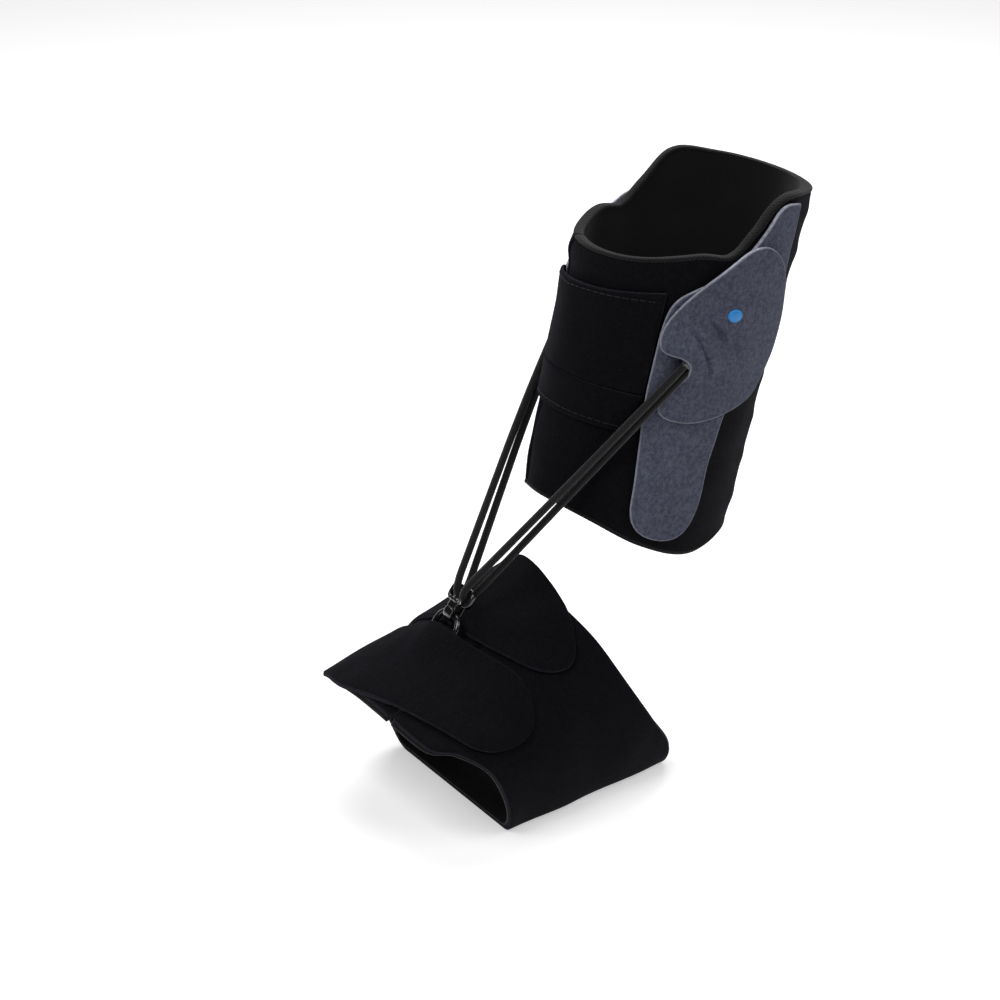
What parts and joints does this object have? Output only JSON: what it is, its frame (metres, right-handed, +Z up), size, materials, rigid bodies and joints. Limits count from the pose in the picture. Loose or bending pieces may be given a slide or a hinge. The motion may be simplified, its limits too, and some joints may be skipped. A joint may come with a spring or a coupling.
{
  "type": "ankle foot orthosis",
  "caption": "Soft drop-foot orthosis: a padded ankle cuff with grey wings, elastic cords and a snap hook that lift a strapped wrap round the midfoot.",
  "frame": {"origin": "the wearer's ankle joint centre, on the line between the ankle bones", "axes": "+X to the toes, +Y to the outer side of a left foot and along the ankle axis, +Z up"},
  "size_m": [0.2064, 0.0983, 0.2325],
  "materials": {
    "black_velour": "brushed loop velour, matt",
    "black_lining": "smooth foam-backed lining",
    "grey_velour": "blue-grey brushed felt",
    "hook_tape": "woven tape with fine hooks",
    "black_webbing": "flat woven webbing",
    "black_elastic": "braided elastic cord",
    "black_plastic": "moulded, satin gloss",
    "steel_pin": "plain pin",
    "blue_dot": "small moulded marker"
  },
  "bodies": {
    "cuff": {"cuff_shell": "black_velour", "cuff_lining": "black_lining", "upper_strap": "black_velour", "lower_strap": "black_velour", "lateral_wing_hook_pad": "hook_tape", "lateral_wing_base": "grey_velour", "lateral_wing_top": "grey_velour", "lateral_marker_dot": "blue_dot", "lateral_cord_anchor": "black_plastic", "lateral_cord": "black_elastic", "medial_wing_hook_pad": "hook_tape", "medial_wing_base": "grey_velour", "medial_wing_top": "grey_velour", "medial_marker_dot": "blue_dot", "medial_cord_anchor": "black_plastic", "medial_cord": "black_elastic"},
    "upper_tab": {"upper_strap_tab": "black_velour", "upper_strap_hook_pad": "hook_tape"},
    "lower_tab": {"lower_strap_tab": "black_velour", "lower_strap_hook_pad": "hook_tape"},
    "foot_wrap": {"foot_band": "black_velour", "foot_lining": "black_lining", "rear_strap": "black_velour", "front_strap": "black_velour", "ring_loop": "black_webbing", "ring": "black_plastic", "hook_body": "black_plastic", "gate_pin": "steel_pin"},
    "rear_tab": {"rear_strap_tab": "black_velour", "rear_strap_hook_pad": "hook_tape"},
    "front_tab": {"front_strap_tab": "black_velour", "front_strap_hook_pad": "hook_tape"},
    "hook_gate": {"hook_gate": "black_plastic"}
  },
  "joints": [
    {"name": "ankle_flexion", "type": "hinge", "parent": "cuff", "child": "foot_wrap", "pos_m": [0, 0, 0], "axis": [0, 1, 0], "range_deg": [-15, 25], "stiffness_Nm_per_rad": 2, "springref_deg": -1.15, "deforming": ["lateral_cord", "medial_cord"]},
    {"name": "upper_strap_open", "type": "hinge", "parent": "cuff", "child": "upper_tab", "pos_m": [0.02154, -0.0072, 0.10328], "axis": [-0.2419, 0, 0.9703], "range_deg": [0, 70]},
    {"name": "lower_strap_open", "type": "hinge", "parent": "cuff", "child": "lower_tab", "pos_m": [0.02728, -0.0072, 0.07894], "axis": [-0.2419, 0, 0.9703], "range_deg": [0, 70]},
    {"name": "rear_strap_open", "type": "hinge", "parent": "foot_wrap", "child": "rear_tab", "pos_m": [0.054, 0.0082, -0.00451], "axis": [0.922, 0, -0.3872], "range_deg": [0, 65]},
    {"name": "front_strap_open", "type": "hinge", "parent": "foot_wrap", "child": "front_tab", "pos_m": [0.097, 0.0082, -0.02183], "axis": [0.922, 0, -0.3872], "range_deg": [0, 65]},
    {"name": "hook_gate", "type": "hinge", "parent": "foot_wrap", "child": "hook_gate", "pos_m": [0.07303, -0.002, -0.00023], "axis": [0, 1, 0], "range_deg": [0, 30], "stiffness_Nm_per_rad": 0.001, "springref_deg": -17.19}
  ]
}
